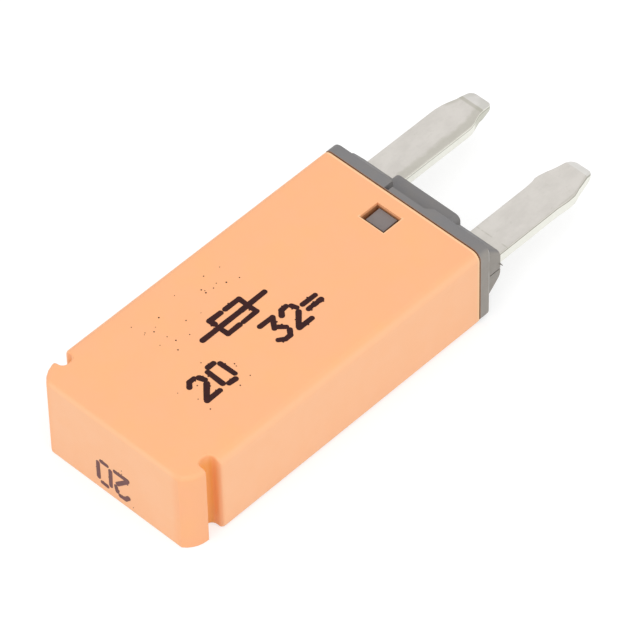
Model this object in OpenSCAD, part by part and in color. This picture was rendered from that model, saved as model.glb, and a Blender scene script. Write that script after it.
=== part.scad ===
// Self-resetting automotive fuse in the mini-blade footprint, lying on its back.
// Millimetres. +Z is the normal of the printed face, +Y runs to the blade tips.
// The seam between cover and base is the plane that lengths along Y are measured from.

/* [Body] */
// Width of cover and flange
body_w = 12.4; // [11.8:0.1:14]
// Thickness of cover and flange
body_t = 6; // [5.6:0.1:8]
// Radius of the four long edges of cover and flange
long_edge_r = 0.6; // [0.2:0.05:0.9]

/* [Cover] */
// Length of the cover from the seam to its closed end
cover_len = 23.8; // [21:0.1:30]
// Wall of the cover along its length
cover_wall = 0.8; // [0.6:0.05:0.9]
// Wall of the cover at its closed end
end_wall = 1; // [0.7:0.1:1.6]
// Radius of the corners of the closed end, seen from the front
end_corner_r = 1.7; // [0.8:0.1:2.2]
// Radius of the front edge of the closed end
end_front_r = 0.3; // [0.1:0.05:0.5]
// Radius of the back edges of the closed end and its ears
end_back_r = 0.1; // [0.05:0.05:0.3]
// Radius of the corners inside the cover
inside_r = 0.4; // [0.2:0.05:0.6]

/* [Puller grooves] */
// Width of the groove in each side
groove_w = 1; // [0.8:0.1:1.6]
// Depth of the groove in each side
groove_d = 0.95; // [0.5:0.05:1.2]
// Radius in the bottom of the groove
groove_r = 0.4; // [0.1:0.05:0.4]
// Thickness of the ear between the groove and the closed end
ear_t = 1.55; // [1.1:0.05:2]

/* [Latch] */
// Width of the latch window across the cover
window_w = 1.9; // [1.4:0.1:2.8]
// Length of the latch window along the cover
window_l = 1.5; // [1.1:0.1:1.8]
// Distance from the seam to the latch window
window_y = 1; // [0.8:0.05:1.1]
// Depth of the lug's face under the face of the cover
lug_sunk = 0.28; // [0.2:0.02:0.5]
// Fall of the lug's face from its catch to its lead-in
lug_fall = 0.05; // [0.05:0.05:0.2]
// Gap beside the lug on the left
lug_side_gap = 0.2; // [0.05:0.05:0.4]
// Gap between the lug and the other edges of its window
lug_gap = 0.05; // [0.02:0.01:0.1]

/* [Base] */
// Thickness of the flange
flange_t = 0.87; // [0.6:0.01:1.2]
// Depth of the plug inside the cover
plug_depth = 3; // [2.9:0.1:4]
// Gap between the plug and the cover
plug_gap = 0.05; // [0.02:0.01:0.1]
// Wall of the plug in front of and behind its pocket
plug_wall = 0.9; // [0.7:0.05:1.1]
// Width of the pocket in the plug
pocket_w = 3.4; // [2.9:0.1:3.9]
// Floor left under the pocket, measured from the seam
pocket_floor = 0.5; // [0.3:0.1:0.7]

/* [Collar and key] */
// Height of the collar above the flange
collar_h = 1.23; // [0.9:0.01:1.8]
// Distance from the side of the flange to the collar
collar_inset = 0.3; // [0.1:0.05:0.4]
// Thickness of the collar where it leaves the flange
collar_t = 3.86; // [3.3:0.02:4.6]
// Thickness of the collar's flat nose
collar_nose_t = 2.35; // [2:0.05:2.8]
// Height of the chamfer up to the nose
collar_chamfer = 0.72; // [0.3:0.02:0.9]
// Radius of the collar's corners
collar_r = 0.45; // [0.3:0.05:0.9]
// Width of the key rib between the blades
key_w = 5.2; // [4.2:0.1:5.25]
// Thickness of the key rib
key_t = 3.86; // [3.3:0.02:4.6]
// Height of the key rib above the flange
key_h = 1.32; // [1:0.02:2]
// Radius of the key rib's long edges
key_r = 0.4; // [0.2:0.05:0.8]
// Left end of the notch in the flange
notch_left = 1.5; // [1.2:0.1:2]
// Right end of the notch in the flange
notch_right = 1.9; // [1.4:0.1:2.2]
// Flange left standing along the notch
notch_ledge = 0.48; // [0.3:0.02:0.58]
// Width of the deeper relief at the left end of the notch
relief_w = 0.35; // [0.2:0.05:0.6]
// Flange left standing under the relief
relief_ledge = 0.08; // [0.06:0.01:0.2]
// Slope of the right end of the notch, along the flange
notch_slope = 0.45; // [0.2:0.05:0.6]

/* [Blades] */
// Width of each blade
blade_w = 2.8; // [2.6:0.05:2.85]
// Thickness of each blade and of the sheet that it is stamped from
blade_t = 0.8; // [0.6:0.05:0.9]
// Distance between the centres of the blades
blade_pitch = 8.1; // [8:0.05:8.3]
// Distance from the seam to the blade tips
blade_reach = 11.3; // [9:0.1:13]
// Length of the blade's taper
taper_len = 2.4; // [1.5:0.1:3.5]
// Width of the blade at its tip
tip_w = 1.6; // [1.1:0.1:2]
// Length of the coined bevel at the tip
bevel_len = 0.75; // [0.3:0.05:1]
// Thickness of the blade at its tip
tip_t = 0.4; // [0.25:0.05:0.5]
// Radius of the blade's long edges
blade_edge_r = 0.15; // [0.05:0.05:0.25]
// Radius of the corners of the tip
tip_r = 0.35; // [0.1:0.05:0.5]

/* [Stamped metal inside] */
// Width of the stem that passes through the base
stem_w = 2.2; // [1.8:0.1:2.3]
// Depth of the blade's shoulder in the base, above the seam
shoulder_y = 0.4; // [0.2:0.05:0.55]
// Gap between the metal and its slot in the base
slot_gap = 0.02; // [0.01:0.01:0.05]
// Width that the stops add on each side of the stem
stop_w = 0.3; // [0.15:0.05:0.35]
// Length of the stops
stop_l = 0.6; // [0.4:0.1:1]
// Length of the sloping step down to the contact pad
step_l = 0.9; // [0.6:0.1:1.4]
// Length of the contact pad
pad_l = 3.2; // [2.8:0.1:4]
// Reach of the contact pad past the middle
pad_reach = 1.6; // [1.45:0.05:2]
// Length of the foot that carries the strip
foot_l = 3; // [2:0.1:4]
// Reach of the foot past the middle
foot_reach = 2.2; // [2:0.1:3]
// Gap between the foot and the end of the cover's wide hollow
foot_gap = 0.3; // [0.2:0.05:0.6]

/* [Bimetal strip and contacts] */
// Width of the strip at its root
strip_w = 3.8; // [3.2:0.1:4]
// Width of the strip at its free end
strip_tip_w = 3.2; // [2.8:0.1:3.6]
// Thickness of the strip
strip_t = 0.25; // [0.15:0.05:0.35]
// Distance from the end of the foot to the heel of the strip
heel_inset = 0.2; // [0.1:0.05:0.5]
// Diameter of both contact buttons
contact_d = 2.4; // [1.8:0.1:2.6]
// Thickness of each contact button
contact_t = 0.35; // [0.25:0.05:0.45]
// Diameter of the rivet shank behind each button
shank_d = 1.2; // [0.8:0.1:1.4]
// Diameter of the closed rivet head
rivet_d = 1.8; // [1.6:0.1:2.2]
// Thickness of the closed rivet head
rivet_t = 0.15; // [0.1:0.05:0.25]

/* [Hidden] */
$fn = 64;
eps = 0.1;

// The origin lies under the middle of the whole part, so the seam stands off it
seam_y = (cover_len - blade_reach) / 2;
mid_z = body_t / 2;

hollow_w = body_w - 2 * cover_wall;
hollow_t = body_t - 2 * cover_wall;
neck_w = hollow_w - 2 * groove_d;
groove_y = ear_t + groove_w / 2 - cover_len;
hollow_end = groove_y + groove_w / 2 + cover_wall;
neck_end = end_wall - cover_len;

plug_w = hollow_w - 2 * plug_gap;
plug_t = hollow_t - 2 * plug_gap;
lug_catch = -window_y - lug_gap;
lug_lead = -window_y - window_l + lug_gap;

collar_top = flange_t + collar_h;
sheet_top = mid_z + blade_t / 2;
stem_out = blade_pitch / 2 - blade_w / 2 + stem_w;
stem_in = blade_pitch / 2 - blade_w / 2;

contact_y = -plug_depth - stop_l - step_l - pad_l / 2;
pad_drop = 2 * contact_t;
pad_top = sheet_top - pad_drop;
foot_end = hollow_end + foot_gap;
heel_y = foot_end + heel_inset;
strip_tip = contact_y + strip_tip_w / 2;
step_far = -plug_depth - stop_l - step_l;

module seated() {
    translate([0, seam_y, 0])
        children();
}

// Turns a flat shape drawn as X and Z into a bar that runs from y0 to y1
module along_y(y0, y1) {
    translate([0, y1, 0])
        rotate([90, 0, 0])
            linear_extrude(y1 - y0)
                children();
}

// Turns a flat shape drawn as Y and Z into a bar that runs from x0 to x1
module along_x(x0, x1) {
    translate([x0, 0, 0])
        rotate([90, 0, 90])
            linear_extrude(x1 - x0)
                children();
}

module along_z(z0, z1) {
    translate([0, 0, z0])
        linear_extrude(z1 - z0)
            children();
}

// Box given by its width about the middle, its ends along Y and its thickness about the mid-plane
module slab(w, y0, y1, t) {
    translate([-w / 2, y0, mid_z - t / 2])
        cube([w, y1 - y0, t]);
}

module rounded_rect(w, h, r) {
    square([w - 2 * r, h], center = true);
    square([w, h - 2 * r], center = true);
    for (x = [-1, 1], y = [-1, 1])
        translate([x * (w / 2 - r), y * (h / 2 - r)])
            circle(r);
}

module body_section(r) {
    translate([0, mid_z])
        rounded_rect(body_w, body_t, r);
}

// Joins the front half of the first child to the back half of the second, about the mid-plane
module front_and_back() {
    intersection() {
        children(0);
        translate([-cover_len, mid_z])
            square([2 * cover_len, mid_z]);
    }
    intersection() {
        children(1);
        translate([-cover_len, 0])
            square([2 * cover_len, mid_z]);
    }
}

// Rectangle about X = 0 from y0 up to y1, with its two lower corners rounded
module round_ended(w, y0, y1, r) {
    translate([-w / 2, y0 + r])
        square([w, y1 - y0 - r]);
    translate([r - w / 2, y0])
        square([w - 2 * r, r]);
    for (x = [-1, 1])
        translate([x * (w / 2 - r), y0 + r])
            circle(r);
}

module cover_plan() {
    difference() {
        round_ended(body_w, -cover_len, 0, end_corner_r);
        for (x = [-1, 1])
            translate([x * body_w / 2, groove_y])
                rounded_rect(2 * groove_d, groove_w, groove_r);
    }
}

module cover_side(r) {
    translate([0, mid_z])
        rotate(-90)
            round_ended(body_t, -cover_len, 0, r);
}

// Cover without its window and hollow; the back edges of the ears are nearly sharp
module cover_outside() {
    intersection() {
        union() {
            along_y(-cover_len, groove_y)
                front_and_back() {
                    body_section(long_edge_r);
                    body_section(end_back_r);
                }
            along_y(groove_y, 0)
                body_section(long_edge_r);
        }
        along_z(-eps, body_t + eps)
            cover_plan();
        along_x(-body_w, body_w)
            front_and_back() {
                cover_side(end_front_r);
                cover_side(end_back_r);
            }
    }
}

module cover_hollow() {
    along_z(cover_wall, body_t - cover_wall) {
        round_ended(hollow_w, hollow_end, eps, inside_r);
        round_ended(neck_w, neck_end, 0, inside_r);
    }
}

module cover() {
    color("#ffc08c")
        seated()
            difference() {
                cover_outside();
                cover_hollow();
                slab(window_w, -window_y - window_l, -window_y, body_t + 2 * eps);
            }
}

// Half of the collar's profile, from the flange to the nose
function collar_profile(side) = [
    [0, side * collar_t / 2],
    [collar_top - collar_chamfer, side * collar_t / 2],
    [collar_top, side * collar_nose_t / 2]
];

module collar() {
    intersection() {
        along_x(-body_w / 2 + collar_inset, body_w / 2 - collar_inset)
            translate([0, mid_z])
                polygon(concat(collar_profile(-1), [for (i = [2:-1:0]) collar_profile(1)[i]]));
        along_y(0, collar_top)
            translate([0, mid_z])
                rounded_rect(body_w - 2 * collar_inset, collar_t, collar_r);
    }
}

module key_rib() {
    along_y(0, flange_t + key_h)
        translate([0, mid_z])
            rounded_rect(key_w, key_t, key_r);
}

// Wedge on the front of the plug that snaps into the latch window
module latch_lug() {
    catch_z = body_t - lug_sunk;
    lead_z = catch_z - lug_fall;
    root_z = mid_z + plug_t / 2 - eps;
    along_x(lug_side_gap - window_w / 2, window_w / 2 - lug_gap)
        polygon([[lug_lead, root_z], [lug_catch, root_z], [lug_catch, catch_z], [lug_lead, lead_z]]);
}

module flange_notch() {
    along_z(mid_z + key_t / 2, body_t + eps)
        polygon([
            [-notch_left, flange_t + eps],
            [-notch_left, relief_ledge],
            [relief_w - notch_left, relief_ledge],
            [relief_w - notch_left, notch_ledge],
            [notch_right - notch_slope, notch_ledge],
            [notch_right, flange_t],
            [notch_right, flange_t + eps]
        ]);
}

// Stepped passage for one blade, its shoulder and its stem
module blade_slot() {
    slot_t = blade_t + 2 * slot_gap;
    translate([stem_in - slot_gap, shoulder_y - slot_gap, mid_z - slot_t / 2])
        cube([blade_w + 2 * slot_gap, collar_top + eps, slot_t]);
    translate([stem_in - slot_gap, -plug_depth - eps, mid_z - slot_t / 2])
        cube([stem_w + 2 * slot_gap, plug_depth + shoulder_y + eps, slot_t]);
}

module base() {
    color("#8a8886")
        seated()
            difference() {
                union() {
                    difference() {
                        along_y(0, flange_t)
                            body_section(long_edge_r);
                        flange_notch();
                    }
                    collar();
                    key_rib();
                    slab(plug_w, -plug_depth, 0, plug_t);
                    latch_lug();
                    translate([0, 0, body_t])
                        mirror([0, 0, 1])
                            latch_lug();
                }
                blade_slot();
                mirror([1, 0, 0])
                    blade_slot();
                slab(pocket_w, -plug_depth - eps, -pocket_floor, plug_t - 2 * plug_wall);
            }
}

// Blade of the right terminal from its shoulder to its tip
module blade() {
    half_t = blade_t / 2;
    bevel_y = blade_reach - bevel_len;
    intersection() {
        along_z(0, body_t)
            translate([blade_pitch / 2, 0])
                blade_plan();
        along_x(0, body_w)
            translate([0, mid_z])
                polygon([
                    [shoulder_y, -half_t], [bevel_y, -half_t], [blade_reach, -tip_t / 2],
                    [blade_reach, tip_t / 2], [bevel_y, half_t], [shoulder_y, half_t]
                ]);
        along_y(shoulder_y, blade_reach)
            translate([blade_pitch / 2, mid_z])
                rounded_rect(blade_w, blade_t, blade_edge_r);
    }
}

module blade_plan() {
    half_w = blade_w / 2;
    half_tip = tip_w / 2;
    taper_y = blade_reach - taper_len;
    polygon([
        [-half_w, shoulder_y], [half_w, shoulder_y], [half_w, taper_y],
        [half_tip, blade_reach - tip_r], [half_tip - tip_r, blade_reach],
        [tip_r - half_tip, blade_reach], [-half_tip, blade_reach - tip_r], [-half_w, taper_y]
    ]);
    for (x = [-1, 1])
        translate([x * (half_tip - tip_r), blade_reach - tip_r])
            circle(tip_r);
}

// Stem of the right terminal in the base, with the stops behind the plug
module stem(stem_end) {
    translate([stem_in, stem_end, mid_z - blade_t / 2])
        cube([stem_w, shoulder_y - stem_end + eps, blade_t]);
    translate([stem_in - stop_w, -plug_depth - stop_l, mid_z - blade_t / 2])
        cube([stem_w + 2 * stop_w, stop_l, blade_t]);
}

module terminal_left() {
    color("#d6d3cf")
        seated()
            union() {
                mirror([1, 0, 0]) {
                    blade();
                    stem(foot_end);
                }
                translate([-stem_out, foot_end, mid_z - blade_t / 2])
                    cube([stem_out + foot_reach, foot_l, blade_t]);
            }
}

// Plan of the right terminal behind its stops: a leg on the step, then the pad
module pad_plan() {
    translate([stem_in, step_far - eps])
        square([stem_w, step_l + stop_l / 2 + eps]);
    translate([-pad_reach, contact_y - pad_l / 2])
        square([pad_reach + stem_out, pad_l]);
}

// Side of the right terminal behind its stops, with the step down to the pad
module pad_side() {
    bend_y = -plug_depth - stop_l;
    start_y = bend_y + stop_l / 2;
    end_y = contact_y - pad_l / 2;
    top = [[start_y, sheet_top], [bend_y, sheet_top], [step_far, pad_top], [end_y, pad_top]];
    polygon(concat(top, [for (i = [3:-1:0]) top[i] - [0, blade_t]]));
}

module terminal_right() {
    color("#d6d3cf")
        seated()
            difference() {
                union() {
                    blade();
                    stem(-plug_depth - stop_l);
                    intersection() {
                        along_z(0, body_t)
                            pad_plan();
                        along_x(-body_w / 2, body_w / 2)
                            pad_side();
                    }
                }
                translate([0, contact_y, 0])
                    cylinder(d = shank_d, h = body_t);
            }
}

module strip_plan() {
    root_y = heel_y + foot_l - heel_inset;
    difference() {
        union() {
            translate([-strip_w / 2, heel_y])
                square([strip_w, root_y - heel_y]);
            polygon([
                [-strip_w / 2, root_y], [strip_w / 2, root_y],
                [strip_tip_w / 2, contact_y], [-strip_tip_w / 2, contact_y]
            ]);
            translate([0, contact_y])
                circle(d = strip_tip_w);
        }
        translate([0, contact_y])
            circle(d = shank_d);
    }
}

module bimetal_strip() {
    color("#b9b4a6")
        seated()
            along_z(sheet_top, sheet_top + strip_t)
                strip_plan();
}

// Button, shank and closed head in one piece, drawn with the button's face down at Z = 0
module contact(sheet_t) {
    cylinder(d = contact_d, h = contact_t);
    cylinder(d = shank_d, h = contact_t + sheet_t + rivet_t);
    translate([0, 0, contact_t + sheet_t])
        cylinder(d = rivet_d, h = rivet_t);
}

module moving_contact() {
    color("#e4e2dc")
        seated()
            translate([0, contact_y, sheet_top - contact_t])
                contact(strip_t);
}

module fixed_contact() {
    color("#e4e2dc")
        seated()
            translate([0, contact_y, pad_top + contact_t])
                rotate([180, 0, 0])
                    contact(blade_t);
}

cover();
base();
terminal_left();
terminal_right();
bimetal_strip();
moving_contact();
fixed_contact();
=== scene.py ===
"""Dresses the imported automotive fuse: bevelled mouldings, stamped blades, printed marks and a pale studio."""
import math
import random
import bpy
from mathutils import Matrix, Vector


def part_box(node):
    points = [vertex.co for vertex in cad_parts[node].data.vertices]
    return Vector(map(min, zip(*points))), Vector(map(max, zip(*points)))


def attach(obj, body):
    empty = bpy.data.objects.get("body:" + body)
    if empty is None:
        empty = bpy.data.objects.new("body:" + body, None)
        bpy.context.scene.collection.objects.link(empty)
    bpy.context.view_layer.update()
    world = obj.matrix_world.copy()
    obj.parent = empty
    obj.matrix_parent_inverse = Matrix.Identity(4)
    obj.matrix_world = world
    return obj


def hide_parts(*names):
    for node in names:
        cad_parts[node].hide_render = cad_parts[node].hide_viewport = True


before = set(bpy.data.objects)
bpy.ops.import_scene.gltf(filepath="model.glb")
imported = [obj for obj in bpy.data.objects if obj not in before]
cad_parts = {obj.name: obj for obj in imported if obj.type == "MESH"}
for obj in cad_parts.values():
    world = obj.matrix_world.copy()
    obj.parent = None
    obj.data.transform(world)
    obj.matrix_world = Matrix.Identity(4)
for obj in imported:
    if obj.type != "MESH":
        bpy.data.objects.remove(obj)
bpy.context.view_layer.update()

from types import SimpleNamespace

import bmesh
import bpy
from bpy.props import FloatProperty, FloatVectorProperty, IntProperty, PointerProperty
from mathutils import Matrix, Vector

bl_info = {
    "name": "Automotive fuse",
    "version": (1, 0, 0),
    "blender": (4, 5, 0),
    "location": "View3D > Sidebar > Fuse",
    "description": "Models and finishes a self-resetting automotive fuse over its packed solids",
    "category": "Object",
}

# Pieces are modelled with one unit to the millimetre and scaled down at the end
MM = 0.001
# How near a point has to be to count as found, in millimetres
NEAR = 0.001


def node_mm(name):
    """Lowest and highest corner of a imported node, in millimetres."""
    low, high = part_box(name)
    return low / MM, high / MM


COVER_LOW, COVER_HIGH = node_mm("cover")
BASE_LOW, BASE_HIGH = node_mm("base")
LEFT_LOW = node_mm("terminal_left")[0]
RIGHT_LOW = node_mm("terminal_right")[0]
SEAM_Y = COVER_HIGH.y
MID_Z = (COVER_LOW.z + COVER_HIGH.z) / 2


def length(label, text, millimetres):
    """A size that the user may change, kept in metres."""
    return FloatProperty(name=label, description=text, default=millimetres * MM,
                         unit="LENGTH", subtype="DISTANCE", precision=5)


def tint(label, text, colour):
    """A colour that the user may change."""
    return FloatVectorProperty(name=label, description=text, default=colour, size=3,
                               min=0.0, max=1.0, subtype="COLOR")


def plain(label, text, value):
    """A plain number that the user may change."""
    return FloatProperty(name=label, description=text, default=value)


def in_mm(group):
    """A group's values by name: lengths in millimetres, and everything else as it is."""
    values = SimpleNamespace()
    for name in group.__annotations__:
        value = getattr(group, name)
        is_length = group.bl_rna.properties[name].subtype == "DISTANCE"
        setattr(values, name, value / MM if is_length else value)
    return values


class FuseCaseSizes(bpy.types.PropertyGroup):
    """Sizes and colour of the case"""
    long_edge: length("Front long edges", "Radius of the long edges at the front", 0.6)
    back_edge: length("Back long edges", "Radius of the long edges at the back", 0.5)
    corner_left: length("Left corner", "Radius of the closed end's left corner, seen from the front", 2.0)
    corner_right: length("Right corner", "Radius of the closed end's right corner, seen from the front", 1.7)
    end_front: length("End's front edge", "Radius of the closed end's front edge", 0.32)
    end_back: length("End's back edge", "Radius of the back edges of the closed end and its ears", 0.05)
    wall: length("Wall", "Thickness of the moulded wall", 0.8)
    end_wall: length("End wall", "Thickness of the closed end", 1.0)
    ear_left: length("Left ear", "Thickness of the left ear, between its groove and the closed end", 1.46)
    ear_right: length("Right ear", "Thickness of the right ear, between its groove and the closed end", 1.55)
    inset_left: length("Left ear inset", "How far the left ear stands back from the case's side", 0.2)
    inset_right: length("Right ear inset", "How far the right ear stands back from the case's side", 0.1)
    cut_left: length("Left corner cut", "How much of the left corner's rounding the end cuts off", 0.3)
    cut_right: length("Right corner cut", "How much of the right corner's rounding the end cuts off", 0.3)
    groove_width: length("Groove width", "Width of the puller grooves", 1.0)
    groove_depth: length("Groove depth", "Depth of the puller grooves", 0.95)
    groove_round: length("Groove bottom", "Radius in the bottom of the puller grooves", 0.4)
    window_width: length("Window width", "Width of the latch window", 1.9)
    window_length: length("Window length", "Length of the latch window", 1.5)
    window_gap: length("Window from seam", "Distance from the seam to the latch window", 1.0)
    flare: length("Groove flare", "How far the grooves' far walls lean out at their mouths", 0.13)
    mouth: length("Groove mouth", "Softness of the edges round the grooves", 0.13)
    rim: length("Window rim", "Softness of the edges round the window and the seam", 0.05)
    colour: tint("Case colour", "Colour of the case's plastic", (0.93, 0.44, 0.215))


class FuseBaseSizes(bpy.types.PropertyGroup):
    """Sizes and colours of the base"""
    flange: length("Flange", "Thickness of the flange", 0.87)
    long_edge: length("Flange corners", "Radius of the flange's corners, seen from the blades", 0.6)
    rim: length("Flange rim", "Radius of the flange's outer edge", 0.12)
    seam: length("Seam gap", "Width of the gap between the case and the flange", 0.07)
    seam_deep: length("Seam depth", "Depth of the gap between the case and the flange", 0.22)
    collar_inset: length("Collar inset", "Distance from the flange's side to the collar", 0.3)
    collar_thick: length("Collar thickness", "Thickness of the collar at the flange", 3.86)
    nose_front: length("Nose front", "Distance from the mid-plane to the front of the flat nose", 1.36)
    nose_back: length("Nose back", "Distance from the mid-plane back to the collar's long back slope", 0.55)
    nose_fall: length("Nose fall", "Distance from the left side to where the nose starts to fall", 1.52)
    nose_soft: length("Nose softness", "How far the rounding between nose and back slope reaches", 0.27)
    chamfer: length("Collar chamfer", "Height of the slopes up to the nose", 0.7)
    collar_front: length("Collar front corners", "Radius of the collar's corners at the front", 0.36)
    collar_back: length("Collar back corners", "Radius of the collar's corners at the back", 0.52)
    collar_height: length("Collar height", "Height of the collar over the flange", 1.21)
    key_width: length("Key width", "Width of the rib between the blades", 5.17)
    key_aside: length("Key offset", "How far the rib stands right of the middle", 0.1)
    key_thick: length("Key thickness", "Thickness of the rib between the blades", 3.86)
    key_height: length("Key height", "Height of the rib over the flange", 1.32)
    key_round: length("Key corners", "Radius of the rib's corners", 0.4)
    notch_left: length("Notch left", "Distance from the middle to the notch's left end", 1.16)
    notch_right: length("Notch right", "Distance from the middle to the foot of the notch's slope", 1.42)
    notch_slope: length("Notch slope", "How far the notch's right end leans out", 0.7)
    notch_ledge: length("Notch ledge", "Flange left standing along the notch", 0.48)
    relief_left: length("Relief left", "Distance from the middle to the relief's left end", 1.47)
    relief_ledge: length("Relief ledge", "Flange left standing under the relief", 0.1)
    slit_height: length("Slit height", "Height of the slits in the collar's ends over the flange", 0.33)
    slit_width: length("Slit width", "Width of the slits in the collar's ends", 0.1)
    lug_sunk: length("Lug depth", "Depth of a lug's face under the face of the case", 0.3)
    lug_fall: length("Lug fall", "Fall of a lug's face towards its lead-in", 0.06)
    lug_left_gap: length("Lug left gap", "Gap beside a lug on the left", 0.2)
    lug_right_gap: length("Lug right gap", "Gap beside a lug on the right", 0.28)
    lug_lead_gap: length("Lug lead gap", "Gap between a lug's lead-in and its window's edge", 0.28)
    fit: length("Fit", "Gap between the plug or a lug's catch and the case", 0.05)
    slot_gap: length("Slot gap", "Gap between the stamped metal and its slot", 0.02)
    pocket_width: length("Pocket width", "Width of the pocket in the plug", 3.4)
    pocket_wall: length("Pocket wall", "Wall in front of and behind the pocket", 0.9)
    pocket_floor: length("Pocket floor", "Floor left under the pocket, measured from the seam", 0.5)
    soft: length("Moulded edges", "Softness of the smaller moulded edges", 0.07)
    colour: tint("Base colour", "Colour of the base's plastic", (0.183, 0.177, 0.178))
    # Side colour is painted light: the base's sides are shown lighter as the light falls on them
    side_colour: tint("Side colour", "Colour of the base's sheer sides", (0.29, 0.268, 0.24))


class FuseBladeSizes(bpy.types.PropertyGroup):
    """Sizes and colours of the stamped terminals"""
    width: length("Width", "Width of each blade", 2.8)
    thick: length("Thickness", "Thickness of the sheet", 0.8)
    pitch: length("Pitch", "Distance between the blades' centres", 8.1)
    tip_thick: length("Tip thickness", "Thickness of the coined tip", 0.4)
    tip_round: length("Tip corners", "Radius of the tip's corners", 0.34)
    roll: length("Rolled edge", "Radius that the stamping leaves on the front edges", 0.08)
    stem: length("Stem", "Width of the stem in the base", 2.2)
    shoulder: length("Shoulder", "Distance from the seam to the blade's shoulder", 0.4)
    stop_wide: length("Stop width", "Width that the stops add on each side of the stem", 0.3)
    stop_long: length("Stop length", "Length of the stops", 0.6)
    foot_long: length("Foot length", "Length of the foot that carries the strip", 3.0)
    foot_reach: length("Foot reach", "Reach of the foot past the middle", 2.2)
    pad_long: length("Pad length", "Length of the contact pad", 3.2)
    pad_drop: length("Pad drop", "How far the contact pad steps back", 0.7)
    rivet_hole: length("Rivet hole", "Radius of the hole for the fixed contact", 0.6)
    colour: tint("Tin colour", "Colour of the tin plating", (0.66, 0.63, 0.59))
    # Tin shade is the colour of painted shade along the blades' edges, before the tip's crease and towards the
    # collar, of the line across the right blade's root, and of real handling marks
    shade: tint("Tin shade", "Colour of the plating towards its edges", (0.42, 0.41, 0.34))


class FusePrintSizes(bpy.types.PropertyGroup):
    """Sizes and colours of the printed marks"""
    film: length("Film", "Thickness of the ink", 0.015)
    stroke: length("Stroke", "Width of a printed stroke", 0.37)
    end_stroke: length("End stroke", "Width of a stroke on the closed end", 0.31)
    height: length("Height", "Height of the marks between stroke centres", 1.72)
    seed: IntProperty(name="Seed", description="Seed of the stray spots and the uneven strokes", default=7)
    colour: tint("Ink colour", "Colour of the ink", (0.03, 0.009, 0.009))
    thin_colour: tint("Thin ink colour", "Colour of the thin ink on the closed end", (0.165, 0.085, 0.082))


class FuseStageSettings(bpy.types.PropertyGroup):
    """Camera and light"""
    azimuth: plain("Azimuth", "Direction of the camera round the part, in degrees", 44.94)
    elevation: plain("Elevation", "Height of the camera over the horizon, in degrees", 48.22)
    roll: plain("Roll", "Turn of the camera about its own axis, in degrees", -1.48)
    lens: plain("Lens", "Focal length for a frame 36 mm wide", 317.98)
    distance: length("Distance", "Distance from the camera to the seam along the view", 331.83)
    aside: length("Aside", "Offset of the seam's middle to the right in the view", 4.812)
    above: length("Above", "Offset of the seam's middle upwards in the view", 2.895)
    sky: plain("Sky", "Strength of the light from all round", 0.8)
    floor_bounce: plain("Floor bounce", "Share of the light that the floor throws back onto the part", 0.85)
    floor_shade: plain("Floor shade", "How much light the camera sees come and go on the floor", 0.45)
    floor_glow: plain("Floor glow", "Brightness that the camera sees on the floor even in a shadow", 0.62)
    key: plain("Key lamp", "Power of the large lamp overhead, in watts", 0.8)
    fill: plain("Fill lamps", "Power of the two lamps at the closed end and the right side, in watts", 0.62)


# Modelling

def let_go():
    """Leaves edit mode and selects nothing."""
    if bpy.context.mode != "OBJECT":
        bpy.ops.object.mode_set(mode="OBJECT")
    bpy.ops.object.select_all(action="DESELECT")


def take(piece):
    """Makes the piece the only selected and active object."""
    let_go()
    piece.select_set(True)
    bpy.context.view_layer.objects.active = piece


def block(name, low, high):
    """A cube between two corners, with its place in its mesh."""
    let_go()
    low, high = Vector(low), Vector(high)
    bpy.ops.mesh.primitive_cube_add(size=1, location=(low + high) / 2, scale=high - low)
    piece = bpy.context.object
    piece.name = piece.data.name = name
    bpy.ops.object.transform_apply()
    return piece


def disc(sides, radius, depth, place):
    """A cylinder along Z, with its place in its mesh."""
    let_go()
    bpy.ops.mesh.primitive_cylinder_add(vertices=sides, radius=radius, depth=depth, location=place)
    bpy.ops.object.transform_apply()
    return bpy.context.object


def choose(piece, kind, test):
    """Enters edit mode with only what passes the test selected."""
    take(piece)
    bpy.ops.object.mode_set(mode="EDIT")
    bpy.ops.mesh.select_mode(type=kind)
    bpy.ops.mesh.select_all(action="DESELECT")
    bm = bmesh.from_edit_mesh(piece.data)
    found = [e for e in {"VERT": bm.verts, "EDGE": bm.edges, "FACE": bm.faces}[kind] if test(e)]
    for e in found:
        e.select_set(True)
    bmesh.update_edit_mesh(piece.data)
    if not found:
        raise RuntimeError(f"nothing on {piece.name} passes the test")


def runs_along(axis, where):
    """Test for straight edges parallel to an axis, both of whose ends pass another test."""
    def test(edge):
        a, b = (v.co for v in edge.verts)
        rest = [abs(a[i] - b[i]) for i in range(3) if i != axis]
        return max(rest) < 1e-4 and where(a) and where(b)
    return test


def ridge(angle, where):
    """Test for edges whose faces meet at more than an angle, both of whose ends pass another test."""
    def test(edge):
        return (len(edge.link_faces) == 2 and edge.calc_face_angle(0) > math.radians(angle)
                and all(where(v.co) for v in edge.verts))
    return test


def round_edges(piece, test, radius, segments):
    """Rounds the edges that pass the test."""
    choose(piece, "EDGE", test)
    bpy.ops.mesh.bevel(offset=radius, segments=segments, profile=0.5, affect="EDGES",
                       clamp_overlap=False, loop_slide=False)
    let_go()


def pull_out(step):
    """Extrudes the selected faces by a step."""
    bpy.ops.mesh.extrude_region_move(TRANSFORM_OT_translate={"value": step})


def cut_off(piece, point, normal, beyond):
    """Cuts a piece by a plane and takes away what lies beyond it or short of it."""
    choose(piece, "FACE", lambda f: True)
    bpy.ops.mesh.bisect(plane_co=point, plane_no=normal, use_fill=True,
                        clear_outer=beyond, clear_inner=not beyond)


def combine(piece, other, how):
    """Joins another piece to this one or cuts it away; the other is used up."""
    take(piece)
    change = piece.modifiers.new("combine", "BOOLEAN")
    change.operation = how
    change.solver = "EXACT"
    change.object = other
    bpy.ops.object.modifier_apply(modifier=change.name)
    bpy.data.objects.remove(other, do_unlink=True)


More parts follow.
